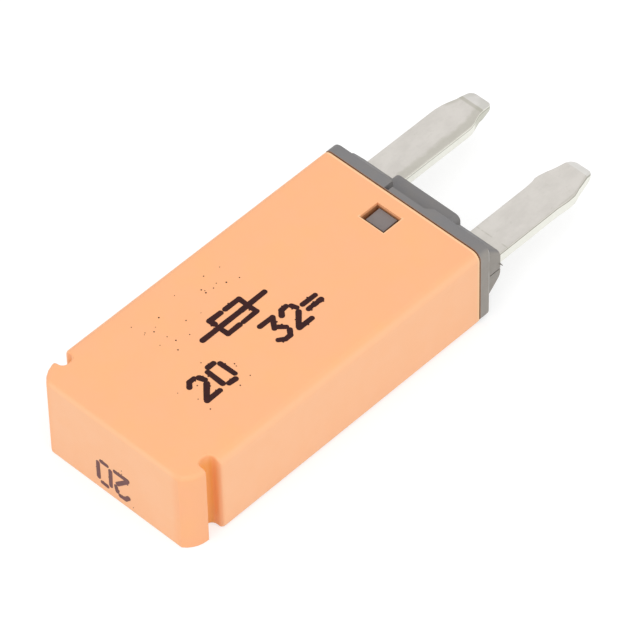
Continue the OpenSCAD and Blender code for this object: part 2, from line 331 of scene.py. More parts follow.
def tidy_faces(piece):
    """Merges doubled points and faces that lie in one plane."""
    take(piece)
    bpy.ops.object.mode_set(mode="EDIT")
    bpy.ops.mesh.select_all(action="SELECT")
    bpy.ops.mesh.remove_doubles(threshold=0.0005)
    bpy.ops.mesh.dissolve_limited(angle_limit=math.radians(0.4))
    let_go()


def bar(name, low, high, radius, segments):
    """A block whose four edges along Y are rounded."""
    piece = block(name, low, high)
    round_edges(piece, runs_along(1, lambda p: True), radius, segments)
    return piece


def finish_piece(piece, material, body, slot, *nodes):
    """Scales a modelled piece to metres, smooths it, gives it its finish and hands it to its body."""
    take(piece)
    piece.scale = (MM, MM, MM)
    bpy.ops.object.transform_apply()
    bpy.ops.object.shade_smooth_by_angle(angle=math.radians(32))
    change = piece.modifiers.new("flat faces", "WEIGHTED_NORMAL")
    change.keep_sharp = True
    bpy.ops.object.modifier_apply(modifier=change.name)
    piece.data.materials.clear()
    piece.data.materials.append(material)
    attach(piece, body)
    if nodes:
        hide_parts(*nodes)


# Materials

def new_group(name, inputs, outputs):
    """An empty shader node group with float inputs (name, default) and float outputs (name)."""
    tree = bpy.data.node_groups.new(name, "ShaderNodeTree")
    for label, default in inputs:
        socket = tree.interface.new_socket(label, in_out="INPUT", socket_type="NodeSocketFloat")
        socket.default_value = default
    for label in outputs:
        tree.interface.new_socket(label, in_out="OUTPUT", socket_type="NodeSocketFloat")
    return tree, tree.nodes.new("NodeGroupInput"), tree.nodes.new("NodeGroupOutput")


def feed(tree, socket, value):
    """Links a socket from another one, or sets its value."""
    if hasattr(value, "is_output"):
        tree.links.new(value, socket)
    else:
        socket.default_value = value


def calc(tree, operation, a, b=0.0, c=0.0):
    """A math node's result."""
    node = tree.nodes.new("ShaderNodeMath")
    node.operation = operation
    for socket, value in zip(node.inputs, (a, b, c)):
        feed(tree, socket, value)
    return node.outputs[0]


def times(tree, a, b):
    """The product of two values."""
    return calc(tree, "MULTIPLY", a, b)


def minus(tree, a, b):
    """The difference of two values."""
    return calc(tree, "SUBTRACT", a, b)


def ramp_between(tree, value, low, high):
    """0 below low and 1 above high, with a soft slope between."""
    node = tree.nodes.new("ShaderNodeMapRange")
    node.interpolation_type = "SMOOTHSTEP"
    feed(tree, node.inputs["Value"], value)
    feed(tree, node.inputs["From Min"], low)
    feed(tree, node.inputs["From Max"], high)
    return node.outputs["Result"]


def distance(tree, a, b):
    """How far two values lie apart."""
    return calc(tree, "ABSOLUTE", minus(tree, a, b))


def band(tree, value, centre, half, soft):
    """1 within half of a centre and 0 beyond, with a soft slope outside."""
    off = distance(tree, value, centre)
    return minus(tree, 1.0, ramp_between(tree, off, half, calc(tree, "ADD", soft, half)))


def mix_colour(tree, factor, a, b):
    """A mix of two colours."""
    node = tree.nodes.new("ShaderNodeMix")
    node.data_type = "RGBA"
    feed(tree, node.inputs["Factor"], factor)
    feed(tree, node.inputs["A"], a if hasattr(a, "is_output") else (*a, 1.0))
    feed(tree, node.inputs["B"], b if hasattr(b, "is_output") else (*b, 1.0))
    return node.outputs["Result"]


def place_of(tree, stretch=(1.0, 1.0, 1.0)):
    """The point on the piece, in millimetres, stretched for a pattern that runs one way."""
    coords = tree.nodes.new("ShaderNodeTexCoord")
    mapping = tree.nodes.new("ShaderNodeMapping")
    mapping.inputs["Scale"].default_value = [s / MM for s in stretch]
    tree.links.new(coords.outputs["Object"], mapping.inputs["Vector"])
    return mapping.outputs["Vector"]


def coordinates(tree):
    """The three coordinates of the point on the piece, in millimetres."""
    split = tree.nodes.new("ShaderNodeSeparateXYZ")
    tree.links.new(place_of(tree), split.inputs[0])
    return [split.outputs[axis] for axis in "XYZ"]


def noise(tree, where, scale, detail=2.0, roughness=0.5):
    """A noise value; scale is in features per millimetre."""
    node = tree.nodes.new("ShaderNodeTexNoise")
    feed(tree, node.inputs["Vector"], where)
    feed(tree, node.inputs["Scale"], scale)
    node.inputs["Detail"].default_value = detail
    node.inputs["Roughness"].default_value = roughness
    return node.outputs["Fac"]


def build_moulded_grain():
    """Fine spark-eroded grain and slow drift of tone, as moulded plastic has."""
    tree, given, out = new_group("Moulded grain", [("Grain size", 0.1), ("Drift size", 4.0)],
                                 ("Height", "Drift", "Fleck"))
    where = place_of(tree)
    grain = noise(tree, where, calc(tree, "DIVIDE", 1.0, given.outputs["Grain size"]), 3.0, 0.6)
    slow = noise(tree, where, calc(tree, "DIVIDE", 1.0, given.outputs["Drift size"]), 2.0, 0.55)
    tree.links.new(grain, out.inputs["Height"])
    tree.links.new(ramp_between(tree, slow, 0.3, 0.7), out.inputs["Drift"])
    tree.links.new(ramp_between(tree, grain, 0.62, 0.75), out.inputs["Fleck"])
    return tree


def build_rolled_sheet():
    """Rolling lines along Y, plating clouds and handling marks of a stamped sheet."""
    tree, given, out = new_group("Rolled sheet", [("Line size", 0.03), ("Cloud size", 0.9)],
                                 ("Lines", "Clouds", "Marks"))
    along = place_of(tree, (1.0, 0.08, 1.0))
    lines = noise(tree, along, calc(tree, "DIVIDE", 1.0, given.outputs["Line size"]), 2.0, 0.6)
    spread = place_of(tree, (1.0, 0.6, 1.0))
    clouds = noise(tree, spread, calc(tree, "DIVIDE", 1.0, given.outputs["Cloud size"]), 4.0, 0.6)
    marks = noise(tree, spread, calc(tree, "DIVIDE", 3.0, given.outputs["Cloud size"]), 5.0, 0.7)
    tree.links.new(lines, out.inputs["Lines"])
    tree.links.new(ramp_between(tree, clouds, 0.3, 0.7), out.inputs["Clouds"])
    tree.links.new(ramp_between(tree, marks, 0.58, 0.72), out.inputs["Marks"])
    return tree


def build_blade_shade():
    """Where a point lies on a stamped blade, mostly for painted light and shade: side face with a painted
    reflection, painted shade on the taper's side, painted shade bands along the front's edges, painted
    highlight and shade lines along the rolled edge, painted shade before the tip's crease, the coined tip, a
    line across the root, and painted shade towards the collar.
    """
    tree, given, out = new_group(
        "Blade shade",
        [("Centre X", 4.05), ("Right edge", 1.33), ("Taper start", 15.0), ("Taper slope", 0.31),
         ("Band", 0.5), ("Front Z", 3.4), ("Tip ridge", 16.68), ("Tip fall", 0.23), ("Root", 9.5),
         ("Line growth", 0.0)],
        ("Side", "Band", "Left", "Fade", "Line", "Bead", "Ridge", "Tip", "Root", "Foot"))
    x, y, z = coordinates(tree)
    wobble = noise(tree, place_of(tree), 1.3, 3.0, 0.6)
    aside = minus(tree, x, given.outputs["Centre X"])
    past = calc(tree, "MAXIMUM", minus(tree, y, given.outputs["Taper start"]), 0.0)
    edge = minus(tree, given.outputs["Right edge"], times(tree, past, given.outputs["Taper slope"]))
    inwards = minus(tree, edge, aside)
    wide = times(tree, given.outputs["Band"], calc(tree, "ADD", wobble, 0.5))
    ridge_at = minus(tree, y, given.outputs["Tip ridge"])
    fall = times(tree, calc(tree, "MAXIMUM", ridge_at, 0.0), given.outputs["Tip fall"])
    below = minus(tree, minus(tree, given.outputs["Front Z"], z), fall)
    on_face = minus(tree, 1.0, ramp_between(tree, below, 0.04, 0.1))
    # Band: painted shade, a darker band on the front along the right edge, where the rolled edge reflects a
    # darker surrounding
    dull_tin_and_edge_shade = minus(tree, 1.0, ramp_between(tree, inwards, times(tree, wide, 0.5), wide))
    along = minus(tree, y, given.outputs["Root"])
    # Side: the side faces, painted pale to stand in for the white surroundings that they reflect
    side = minus(tree, 1.0, on_face)
    tree.links.new(side, out.inputs["Side"])
    # Fade: painted shade on the side faces along the taper
    tree.links.new(times(tree, side, ramp_between(tree, past, 0.2, 0.7)), out.inputs["Fade"])
    tree.links.new(times(tree, on_face, dull_tin_and_edge_shade), out.inputs["Band"])
    # Left: painted shade along the left edge of the taper
    left = times(tree, ramp_between(tree, calc(tree, "ADD", aside, edge), 0.4, 0.12),
                 ramp_between(tree, past, 0.0, 0.4))
    tree.links.new(times(tree, on_face, left), out.inputs["Left"])
    # Line: a painted line just under the rolled edge, a highlight on the left blade and shade on the right
    stout = calc(tree, "MULTIPLY_ADD", calc(tree, "MINIMUM", past, 1.0), given.outputs["Line growth"], 0.015)
    tree.links.new(band(tree, below, calc(tree, "ADD", stout, 0.055), stout, 0.03), out.inputs["Line"])
    # Bead: a painted shade line lower on the side face
    tree.links.new(band(tree, below, 0.16, 0.03, 0.03), out.inputs["Bead"])
    # Ridge: painted shade, a darker line just before the tip's crease
    tree.links.new(band(tree, ridge_at, -0.12, 0.06, 0.12), out.inputs["Ridge"])
    tree.links.new(ramp_between(tree, ridge_at, 0.0, 0.05), out.inputs["Tip"])
    line = times(tree, band(tree, along, 0.0, 0.015, 0.05), ramp_between(tree, wobble, 0.35, 0.55))
    tree.links.new(times(tree, line, on_face), out.inputs["Root"])
    # Foot: painted shade, darker towards the collar
    tree.links.new(ramp_between(tree, along, 0.6, -1.2), out.inputs["Foot"])
    return tree


def build_case_marks(sizes):
    """Masks on the case for painted light and shade: sheen on the flat sides and end, shade deep in a groove, a
    highlight on the rims, and shade deep on the walls of a window.
    """
    tree, _, out = new_group("Case marks", [], ("Side", "Groove", "Rim", "Pit"))
    x, y, z = coordinates(tree)
    far = calc(tree, "ABSOLUTE", x)
    middle = COVER_LOW.y + (sizes.ear_left + sizes.ear_right + sizes.groove_width) / 2
    half = sizes.groove_width / 2
    # Side: painted light, the flat sides and the closed end paler and bluer as the light falls on them
    flank = times(tree, ramp_between(tree, far, COVER_HIGH.x - 0.35, COVER_HIGH.x - 0.03),
                  ramp_between(tree, y, middle, middle + 0.1))
    end = times(tree, ramp_between(tree, y, COVER_LOW.y + 0.28, COVER_LOW.y + 0.04),
                ramp_between(tree, far, 5.3, 4.6))
    tree.links.new(calc(tree, "MAXIMUM", flank, end), out.inputs["Side"])
    # Groove: painted shade, deeper and more saturated orange further into a groove and further from the front
    bottom = COVER_HIGH.x - sizes.groove_depth
    depth = times(tree, ramp_between(tree, far, COVER_HIGH.x - 0.02, COVER_HIGH.x - 0.6),
                  ramp_between(tree, far, bottom - 0.08, bottom - 0.02))
    deeper = ramp_between(tree, z, COVER_HIGH.z + 0.1, COVER_HIGH.z - 1.0)
    within = band(tree, y, middle, half - 0.02, 0.12)
    groove = times(tree, times(tree, depth, deeper), within)
    tree.links.new(groove, out.inputs["Groove"])
    window_y = SEAM_Y - sizes.window_gap - sizes.window_length / 2
    off = calc(tree, "MAXIMUM", minus(tree, far, sizes.window_width / 2),
               minus(tree, distance(tree, y, window_y), sizes.window_length / 2))
    # Rim: a painted highlight on the window's near edges and along the seam's edge
    near = calc(tree, "MAXIMUM", ramp_between(tree, y, window_y - 0.6, window_y - 0.7),
                ramp_between(tree, x, 0.85, 0.95))
    rim = calc(tree, "MAXIMUM", times(tree, band(tree, off, 0.05, 0.02, 0.05), near),
               ramp_between(tree, y, SEAM_Y - 0.2, SEAM_Y - 0.13))
    tree.links.new(rim, out.inputs["Rim"])
    # Pit: painted shade, brown deep on the walls of a window
    inside = ramp_between(tree, off, 0.02, -0.01)
    deep = ramp_between(tree, distance(tree, z, MID_Z), MID_Z - 0.17, MID_Z - 0.27)
    tree.links.new(times(tree, inside, deep), out.inputs["Pit"])
    return tree


def build_base_marks(sizes):
    """Where a point lies on the base, mostly for painted light and shade: painted light on the sides, painted
    shade on the key rib's front, a painted highlight on the flange's rim, painted shade tinted orange in the
    seam gap, the lug, and painted shade on the lug's flank.
    """
    tree, _, out = new_group("Base marks", [], ("Side", "Key", "Edge", "Gap", "Lug", "Under"))
    x, y, z = coordinates(tree)
    far = calc(tree, "ABSOLUTE", x)
    inwards = minus(tree, BASE_HIGH.x, far)
    flange_top = SEAM_Y + sizes.flange
    inset = sizes.collar_inset
    # Side: painted light, the flange's and the collar's sides lighter
    collar = times(tree, ramp_between(tree, inwards, inset + 0.2, inset + 0.01),
                   ramp_between(tree, y, flange_top + 0.01, flange_top + 0.05))
    tree.links.new(calc(tree, "MAXIMUM", ramp_between(tree, inwards, 0.28, 0.0), collar), out.inputs["Side"])
    # Key: painted shade on the key rib's front, deeper towards the flange's wall
    key = times(tree, band(tree, z, MID_Z + sizes.key_thick / 2, 0.02, 0.03),
                ramp_between(tree, y, SEAM_Y + 2.0, SEAM_Y + 0.7))
    key_half = sizes.key_width / 2
    tree.links.new(times(tree, key, ramp_between(tree, far, key_half + 0.4, key_half + 0.2)),
                   out.inputs["Key"])
    # Edge: a painted highlight along the flange's outer rim at the sides, uneven along its length
    rim_glint = times(tree, band(tree, y, flange_top - 0.05, 0.03, 0.03),
                 ramp_between(tree, far, BASE_HIGH.x - 0.12, BASE_HIGH.x - 0.07))
    uneven = ramp_between(tree, noise(tree, place_of(tree), 1.1), 0.35, 0.55)
    tree.links.new(times(tree, rim_glint, uneven), out.inputs["Edge"])
    # Gap: painted shade in the seam gap, tinted brown by the orange case beside it
    gap_end = SEAM_Y + sizes.seam
    gap = times(tree, ramp_between(tree, y, gap_end + 0.02, gap_end + 0.003),
                ramp_between(tree, y, SEAM_Y - 0.06, SEAM_Y - 0.02))
    tree.links.new(gap, out.inputs["Gap"])
    lug = ramp_between(tree, y, SEAM_Y - 0.3, SEAM_Y - 0.5)
    tree.links.new(lug, out.inputs["Lug"])
    # Under: painted shade, orange-brown on the lug's flank below its face, inside the window
    under = times(tree, ramp_between(tree, distance(tree, z, MID_Z), MID_Z - 0.41, MID_Z - 0.45),
                  ramp_between(tree, far, 1.1, 1.0))
    tree.links.new(times(tree, lug, under), out.inputs["Under"])
    return tree


def place_group(tree, group, **values):
    """Puts a shared group in a material with its own values."""
    node = tree.nodes.new("ShaderNodeGroup")
    node.node_tree = group
    for label, value in values.items():
        node.inputs[label.replace("_", " ")].default_value = value
    return node


def new_material(name):
    """A material with its tree and its Principled shader."""
    material = bpy.data.materials.new(name)
    material.use_nodes = True
    return material, material.node_tree, material.node_tree.nodes["Principled BSDF"]


def bump(tree, shader, height, strength, depth):
    """Bump from a height, with its depth in metres."""
    node = tree.nodes.new("ShaderNodeBump")
    node.inputs["Strength"].default_value = strength
    node.inputs["Distance"].default_value = depth
    tree.links.new(height, node.inputs["Height"])
    tree.links.new(node.outputs["Normal"], shader.inputs["Normal"])


def spread_of(tree, value, low, high):
    """Maps 0 to 1 onto low to high."""
    return calc(tree, "MULTIPLY_ADD", value, high - low, low)


def moulded_plastic(name, tints, grain, rough, sizes, marks, tones):
    """Moulded plastic: a drift between three tints, flecks, grain, uneven gloss and local tones, most of them
    painted light and shade.

    The sizes are those of the grain and of the drift. Each tone has its mark, its share and its colour.
    """
    material, tree, shader = new_material(name)
    colour, warm, pale = tints
    grain_size, drift_size = sizes
    effect = place_group(tree, grain, Grain_size=grain_size, Drift_size=drift_size)
    second = place_group(tree, grain, Grain_size=grain_size * 2.7, Drift_size=drift_size * 0.37)
    base = mix_colour(tree, times(tree, effect.outputs["Drift"], 0.8), colour, warm)
    base = mix_colour(tree, times(tree, second.outputs["Drift"], 0.35), base, pale)
    base = mix_colour(tree, times(tree, effect.outputs["Fleck"], 0.12), base, pale)
    place = place_group(tree, marks)
    for mark, share, tone in tones:
        base = mix_colour(tree, times(tree, place.outputs[mark], share), base, tone)
    tree.links.new(base, shader.inputs["Base Color"])
    tree.links.new(spread_of(tree, second.outputs["Drift"], rough - 0.05, rough + 0.07),
                   shader.inputs["Roughness"])
    bump(tree, shader, effect.outputs["Height"], 0.18, 0.000012)
    return material


def tinned_sheet(name, sizes, sheet, shade, place, tones):
    """Tin-plated brass: rolling lines, clouded plating, and local tones along the stamped edges, mostly painted
    light and shade.
    """
    material, tree, shader = new_material(name)
    effect = place_group(tree, sheet, Line_size=0.03, Cloud_size=0.9)
    where = place_group(tree, shade, **place)
    bright = [min(1.0, c * 1.04) for c in sizes.colour]
    dull_tin_and_edge_shade = [c * 0.95 for c in sizes.colour]
    base = mix_colour(tree, effect.outputs["Clouds"], dull_tin_and_edge_shade, bright)
    base = mix_colour(tree, times(tree, effect.outputs["Marks"], 0.2), base, sizes.shade)
    for mark, share, tone in tones:
        base = mix_colour(tree, times(tree, where.outputs[mark], share), base, tone)
    tree.links.new(base, shader.inputs["Base Color"])
    shader.inputs["Metallic"].default_value = 1.0
    tree.links.new(spread_of(tree, effect.outputs["Clouds"], 0.5, 0.38), shader.inputs["Roughness"])
    height = calc(tree, "ADD", effect.outputs["Lines"], times(tree, effect.outputs["Clouds"], 1.5))
    bump(tree, shader, height, 0.12, 0.00001)
    return material


def inner_metal(name, colour, other, sheet, rough, line_size):
    """Metal of the pieces inside: lines, clouds and a little tarnish."""
    material, tree, shader = new_material(name)
    effect = place_group(tree, sheet, Line_size=line_size, Cloud_size=0.7)
    base = mix_colour(tree, effect.outputs["Clouds"], colour, other)
    base = mix_colour(tree, times(tree, effect.outputs["Marks"], 0.3), base,
                      [c * 0.6 for c in colour])
    tree.links.new(base, shader.inputs["Base Color"])
    shader.inputs["Metallic"].default_value = 1.0
    tree.links.new(spread_of(tree, effect.outputs["Marks"], rough, rough + 0.15), shader.inputs["Roughness"])
    bump(tree, shader, effect.outputs["Lines"], 0.2, 0.00001)
    return material


def ink(name, colour, thin, grain):
    """Ink: darker where it pooled and thinner where it dried first."""
    material, tree, shader = new_material(name)
    effect = place_group(tree, grain, Grain_size=0.12, Drift_size=0.35)
    base = mix_colour(tree, times(tree, effect.outputs["Drift"], 0.6), colour, thin)
    tree.links.new(base, shader.inputs["Base Color"])
    tree.links.new(spread_of(tree, effect.outputs["Drift"], 0.6, 0.8), shader.inputs["Roughness"])
    shader.inputs["Specular IOR Level"].default_value = 0.15
    bump(tree, shader, effect.outputs["Height"], 0.2, 0.000006)
    return material


def effect_group(name, build):
    """The shared group, built the first time that it is asked for."""
    return bpy.data.node_groups.get(name) or build()


def grain_group():
    """The grain of moulded plastic and ink."""
    return effect_group("Moulded grain", build_moulded_grain)


def sheet_group():
    """The surface of rolled and plated metal."""
    return effect_group("Rolled sheet", build_rolled_sheet)


def shade_group():
    """The places with a tone of their own on a blade."""
    return effect_group("Blade shade", build_blade_shade)


# Steps

class FUSE_OT_case(bpy.types.Operator):
    """Models the case with its rounded edges, puller grooves and latch windows"""
    bl_idname = "fuse.case"
    bl_label = "Model the case"

    def execute(self, context):
        s = in_mm(context.scene.fuse_case)
        film = in_mm(context.scene.fuse_print).film
        wall = s.wall
        # The ink stands on the end and the front, so both lie back by its thickness
        low, high = COVER_LOW.copy(), COVER_HIGH.copy()
        low.y += film
        high.z -= film
        half = s.groove_width / 2
        ears = {-1: s.ear_left, 1: s.ear_right}
        cuts = {-1: s.cut_left, 1: s.cut_right}
        corners = {-1: s.corner_left, 1: s.corner_right}
        middle = low.y + half + (ears[-1] + ears[1]) / 2
        case = block("case", (low.x, middle, low.z), high)
        round_edges(case, runs_along(1, lambda p: p.z > MID_Z), s.long_edge, 7)
        end = block("end", (low.x + s.inset_left, low.y, low.z),
                    (high.x - s.inset_right, middle + 0.1, high.z))
        for side in (-1, 1):
            choose(end, "VERT", lambda v: v.co.y < low.y + NEAR and v.co.x * side > 0)
            bpy.ops.transform.translate(value=(0, -cuts[side], 0))
        for side, steps in ((-1, 7), (1, 8)):
            round_edges(end, runs_along(2, lambda p: p.y < low.y - NEAR and p.x * side > 5),
                        corners[side], steps)
        cut_off(end, (0, low.y, 0), (0, 1, 0), False)
        tidy_faces(end)
        top = ridge(60, lambda p: p.z > MID_Z)
        round_edges(end, lambda e: top(e) and all(v.co.z > high.z - NEAR for v in e.verts)
                    and min(v.co.y for v in e.verts) < middle, s.end_front, 5)
        combine(case, end, "UNION")
        tidy_faces(case)

        for side in (-1, 1):
            bottom = side * (high.x - s.groove_depth)
            ends = sorted((bottom, side * (high.x + 2)))
            wall_y = low.y + ears[side]
            groove = block("groove", (ends[0], wall_y, low.z - 1), (ends[1], wall_y + 2 * half, high.z + 1))
            round_edges(groove, runs_along(2, lambda p: abs(p.x - bottom) < NEAR), s.groove_round, 8)
            combine(case, groove, "DIFFERENCE")
            start_x, far_y = side * (high.x - 0.3), wall_y + 2 * half
            ends = sorted((start_x, side * (high.x + 0.3)))
            lean = block("lean", (ends[0], wall_y + half, low.z - 1), (ends[1], far_y, high.z + 1))
            choose(lean, "VERT", lambda v: abs(v.co.x) > high.x and v.co.y > far_y - NEAR)
            bpy.ops.transform.translate(value=(0, s.flare * 2, 0))
            combine(case, lean, "DIFFERENCE")
        window_top = high.y - s.window_gap
        window = block("window", (-s.window_width / 2, window_top - s.window_length, low.z - 1),
                       (s.window_width / 2, window_top, high.z + 1))
        combine(case, window, "DIFFERENCE")
        wide_end = middle + half + wall
        neck = high.x - wall - s.groove_depth
        hollow = block("hollow", (low.x + wall, wide_end, low.z + wall),
                       (high.x - wall, high.y + 1, high.z - wall))
        combine(case, hollow, "DIFFERENCE")
        hollow = block("neck", (-neck, low.y + s.end_wall, low.z + wall),
                       (neck, wide_end + 0.5, high.z - wall))
        combine(case, hollow, "DIFFERENCE")
        tidy_faces(case)

        def at_groove(p):
            return -0.07 < p.y - middle + half < 2 * half + 0.07 + s.flare and \
                abs(p.x) > high.x - s.groove_depth - NEAR

        def at_rim(p):
            outside = p.z > high.z - NEAR or p.z < low.z + NEAR
            window_rim = abs(p.x) < s.window_width / 2 + NEAR and \
                window_top - s.window_length - NEAR < p.y < window_top + NEAR
            seam = p.y > high.y - NEAR and (outside or abs(p.x) > high.x - s.long_edge - NEAR)
            return (outside and window_rim) or seam

        def at_back_edge(p):
            return p.z < low.z + NEAR and p.y > middle and abs(p.x) > high.x - NEAR

        round_edges(case, runs_along(1, at_back_edge), s.back_edge, 6)
        choose(case, "VERT", lambda v: at_groove(v.co))
        bpy.ops.mesh.remove_doubles(threshold=0.03)
        round_edges(case, ridge(35, at_groove), s.mouth, 3)
        behind = ridge(60, lambda p: p.z < low.z + NEAR and p.y < middle - half + 0.06)
        round_edges(case, lambda e: behind(e) and min(f.normal.z for f in e.link_faces) < -0.99,
                    s.end_back, 2)
        round_edges(case, ridge(35, at_rim), s.rim, 2)
        colour = list(s.colour)
        warm = [colour[0], colour[1] * 1.03, colour[2] * 0.94]
        pale = [min(1.0, colour[0] * 1.01), colour[1] * 1.02, colour[2] * 1.14]
        # Side: painted light on the flat sides and the closed end
        tones = [("Side", 1.0, (colour[0], colour[1] * 1.12, colour[2] * 1.23)),
                 # Groove: painted shade deep in the puller grooves
                 ("Groove", 0.85, (0.88, 0.385, 0.075)),
                 # Rim: painted highlight along the window's near edges and the seam
                 ("Rim", 0.65, (0.88, 0.6, 0.34)),
                 # Pit: painted shade deep in the latch windows
                 ("Pit", 0.92, (0.2, 0.065, 0.018))]
        marks = effect_group("Case marks", lambda: build_case_marks(s))
        finish = moulded_plastic("Orange plastic", (colour, warm, pale), grain_group(), 0.5, (0.09, 3.5),
                                 marks, tones)
        finish_piece(case, finish, "fuse", "cover_plastic", "cover")
        return {"FINISHED"}


class FUSE_OT_base(bpy.types.Operator):
    """Models the snap-in base: flange, collar, key rib, latch lugs and plug"""
    bl_idname = "fuse.base"
    bl_label = "Model the base"

    def execute(self, context):
        s = in_mm(context.scene.fuse_base)
        low, high = BASE_LOW, BASE_HIGH
        soft = s.soft
        flange_top = SEAM_Y + s.flange
        base = bar("base_moulding", (low.x, SEAM_Y + s.seam, low.z), (high.x, flange_top, high.z),
                   s.long_edge, 8)
        round_edges(base, ridge(60, lambda p: p.y > flange_top - NEAR), s.rim, 3)
        deep = s.seam_deep
        neck = bar("neck", (low.x + deep, SEAM_Y, low.z + deep),
                   (high.x - deep, SEAM_Y + 0.3, high.z - deep), 0.4, 6)
        combine(base, neck, "UNION")
        key_front = MID_Z + s.key_thick / 2

        notch_left, notch_right = -s.notch_left, s.notch_right
        notch = block("notch", (notch_left, SEAM_Y + s.notch_ledge, key_front),
                      (notch_right, flange_top + 0.2, high.z + 1))
        choose(notch, "VERT", lambda v: v.co.x > notch_right - 0.02 and v.co.y > flange_top)
        bpy.ops.transform.translate(value=(s.notch_slope, 0, 0))
        round_edges(notch, runs_along(2, lambda p: p.x > notch_right - 0.02 and p.y < flange_top), 0.12, 3)
        combine(base, notch, "DIFFERENCE")
        relief = block("relief", (-s.relief_left, SEAM_Y + s.relief_ledge, key_front),
                       (notch_left + 0.01, flange_top + 0.3, high.z + 1))
        combine(base, relief, "DIFFERENCE")

        inset = s.collar_inset
        nose_y = flange_top + s.collar_height
        collar_half = s.collar_thick / 2
        collar = block("collar", (low.x + inset, flange_top - 0.3, MID_Z - collar_half),
                       (high.x - inset, nose_y - s.chamfer, MID_Z + collar_half))
        round_edges(collar, runs_along(1, lambda p: p.z > MID_Z), s.collar_front, 6)
        round_edges(collar, runs_along(1, lambda p: p.z < MID_Z - collar_half + NEAR), s.collar_back, 6)
        choose(collar, "FACE", lambda f: f.normal.y > 0.9)
        pull_out((0, s.chamfer, 0))
        choose(collar, "VERT", lambda v: v.co.y > nose_y - NEAR and v.co.z > MID_Z)
        bpy.ops.transform.translate(value=(0, 0, s.nose_front - collar_half))
        cut_off(collar, (0, nose_y, MID_Z - s.nose_back), (0, 1, -1), True)
        tidy_faces(collar)
        round_edges(collar, runs_along(0, lambda p: p.y > nose_y - NEAR and p.z < MID_Z), s.nose_soft, 4)
        cut_off(collar, (low.x + s.nose_fall, nose_y, 0), (-0.155, 0.988, 0), True)
        slit_top = MID_Z + 0.02
        for side in (-1, 1):
            ends = sorted((side * (high.x - inset - 0.1), side * (high.x + 1)))
            slit = block("slit", (ends[0], flange_top + s.slit_height, slit_top - s.slit_width),
                         (ends[1], nose_y + 1, slit_top))
            combine(collar, slit, "DIFFERENCE")
        burr = block("burr", (high.x - inset - 0.06, nose_y - 0.12, MID_Z + 0.4),
                     (high.x - inset + 0.25, nose_y - 0.02, MID_Z + 0.48))
        choose(burr, "FACE", lambda f: f.normal.x > 0.9)
        bpy.ops.transform.resize(value=(1, 0.3, 0.4))
        combine(collar, burr, "UNION")
        combine(base, collar, "UNION")

        key_half, aside = s.key_width / 2, s.key_aside
        key = bar("key", (aside - key_half, flange_top - 0.3, MID_Z - s.key_thick / 2),
                  (aside + key_half, flange_top + s.key_height, key_front), s.key_round, 6)
        round_edges(key, ridge(60, lambda p: p.y > flange_top + 0.2), soft, 3)
        combine(base, key, "UNION")

        case = in_mm(context.scene.fuse_case)
        fit = s.fit
        inner = case.wall + fit
        plug = block("plug", (low.x + inner, low.y, low.z + inner),
                     (high.x - inner, SEAM_Y + 0.1, high.z - inner))
        combine(base, plug, "UNION")
        catch = SEAM_Y - case.window_gap - fit
        lead = SEAM_Y - case.window_gap - case.window_length + s.lug_lead_gap
        half = case.window_width / 2
        for front in (1, -1):
            root = MID_Z + front * (MID_Z - inner - 0.1)
            face = MID_Z + front * (MID_Z - s.lug_sunk)
            lug = block("lug", (s.lug_left_gap - half, lead, min(root, face)),
                        (half - s.lug_right_gap, catch, max(root, face)))
            choose(lug, "VERT", lambda v: abs(v.co.z - face) < NEAR and v.co.y < lead + NEAR)
            bpy.ops.transform.translate(value=(0, 0, -front * s.lug_fall))
            round_edges(lug, ridge(60, lambda p: abs(p.z - face) < 0.2), 0.04, 2)
            combine(base, lug, "UNION")

        blade = in_mm(context.scene.fuse_blade)
        outer = blade.pitch / 2 + blade.width / 2
        shoulder = SEAM_Y + blade.shoulder
        gap = s.slot_gap
        slot_half = blade.thick / 2 + gap
        for side in (-1, 1):
            near = outer - blade.width
            for far, y0, y1 in ((outer, shoulder - gap, nose_y + 1),
                                (near + blade.stem, low.y - 1, shoulder + 0.1)):
                ends = sorted((side * (near - gap), side * (far + gap)))
                slot = block("slot", (ends[0], y0, MID_Z - slot_half), (ends[1], y1, MID_Z + slot_half))
                combine(base, slot, "DIFFERENCE")
        pocket_half, around = s.pocket_width / 2, inner + s.pocket_wall
        pocket = block("pocket", (-pocket_half, low.y - 1, low.z + around),
                       (pocket_half, SEAM_Y - s.pocket_floor, high.z - around))
        combine(base, pocket, "DIFFERENCE")
        tidy_faces(base)
        slope_y = nose_y - s.chamfer
        nose = ridge(12, lambda p: slope_y - NEAR < p.y < nose_y + NEAR and abs(p.z - MID_Z) > 0.5)
        along = runs_along(0, lambda p: True)
        round_edges(base, lambda e: nose(e) and along(e), soft * 0.8, 2)

        colour = list(s.colour)
        warm = [colour[0] * 1.1, colour[1] * 1.06, colour[2]]
        pale = [colour[0], colour[1] * 1.04, colour[2] * 1.1]
        # Side: painted light on the flange's and collar's sides
        tones = [("Side", 0.9, s.side_colour),
                 # Key: painted shade on the key rib's front
                 ("Key", 0.6, [c * 0.7 for c in colour]),
                 # Edge: painted highlight on the flange's rim
                 ("Edge", 0.9, (0.6, 0.59, 0.57)),
                 # Gap: painted shade, tinted orange, in the seam gap
                 ("Gap", 0.8, (0.38, 0.2, 0.11)),
                 ("Lug", 1.0, (0.205, 0.179, 0.174)),
                 # Under: painted shade on the lug's flank
                 ("Under", 0.9, (0.42, 0.19, 0.09))]
        marks = effect_group("Base marks", lambda: build_base_marks(s))
        finish = moulded_plastic("Grey plastic", (colour, warm, pale), grain_group(), 0.55, (0.08, 1.6),
                                 marks, tones)
        finish_piece(base, finish, "fuse", "base_plastic", "base")
        return {"FINISHED"}


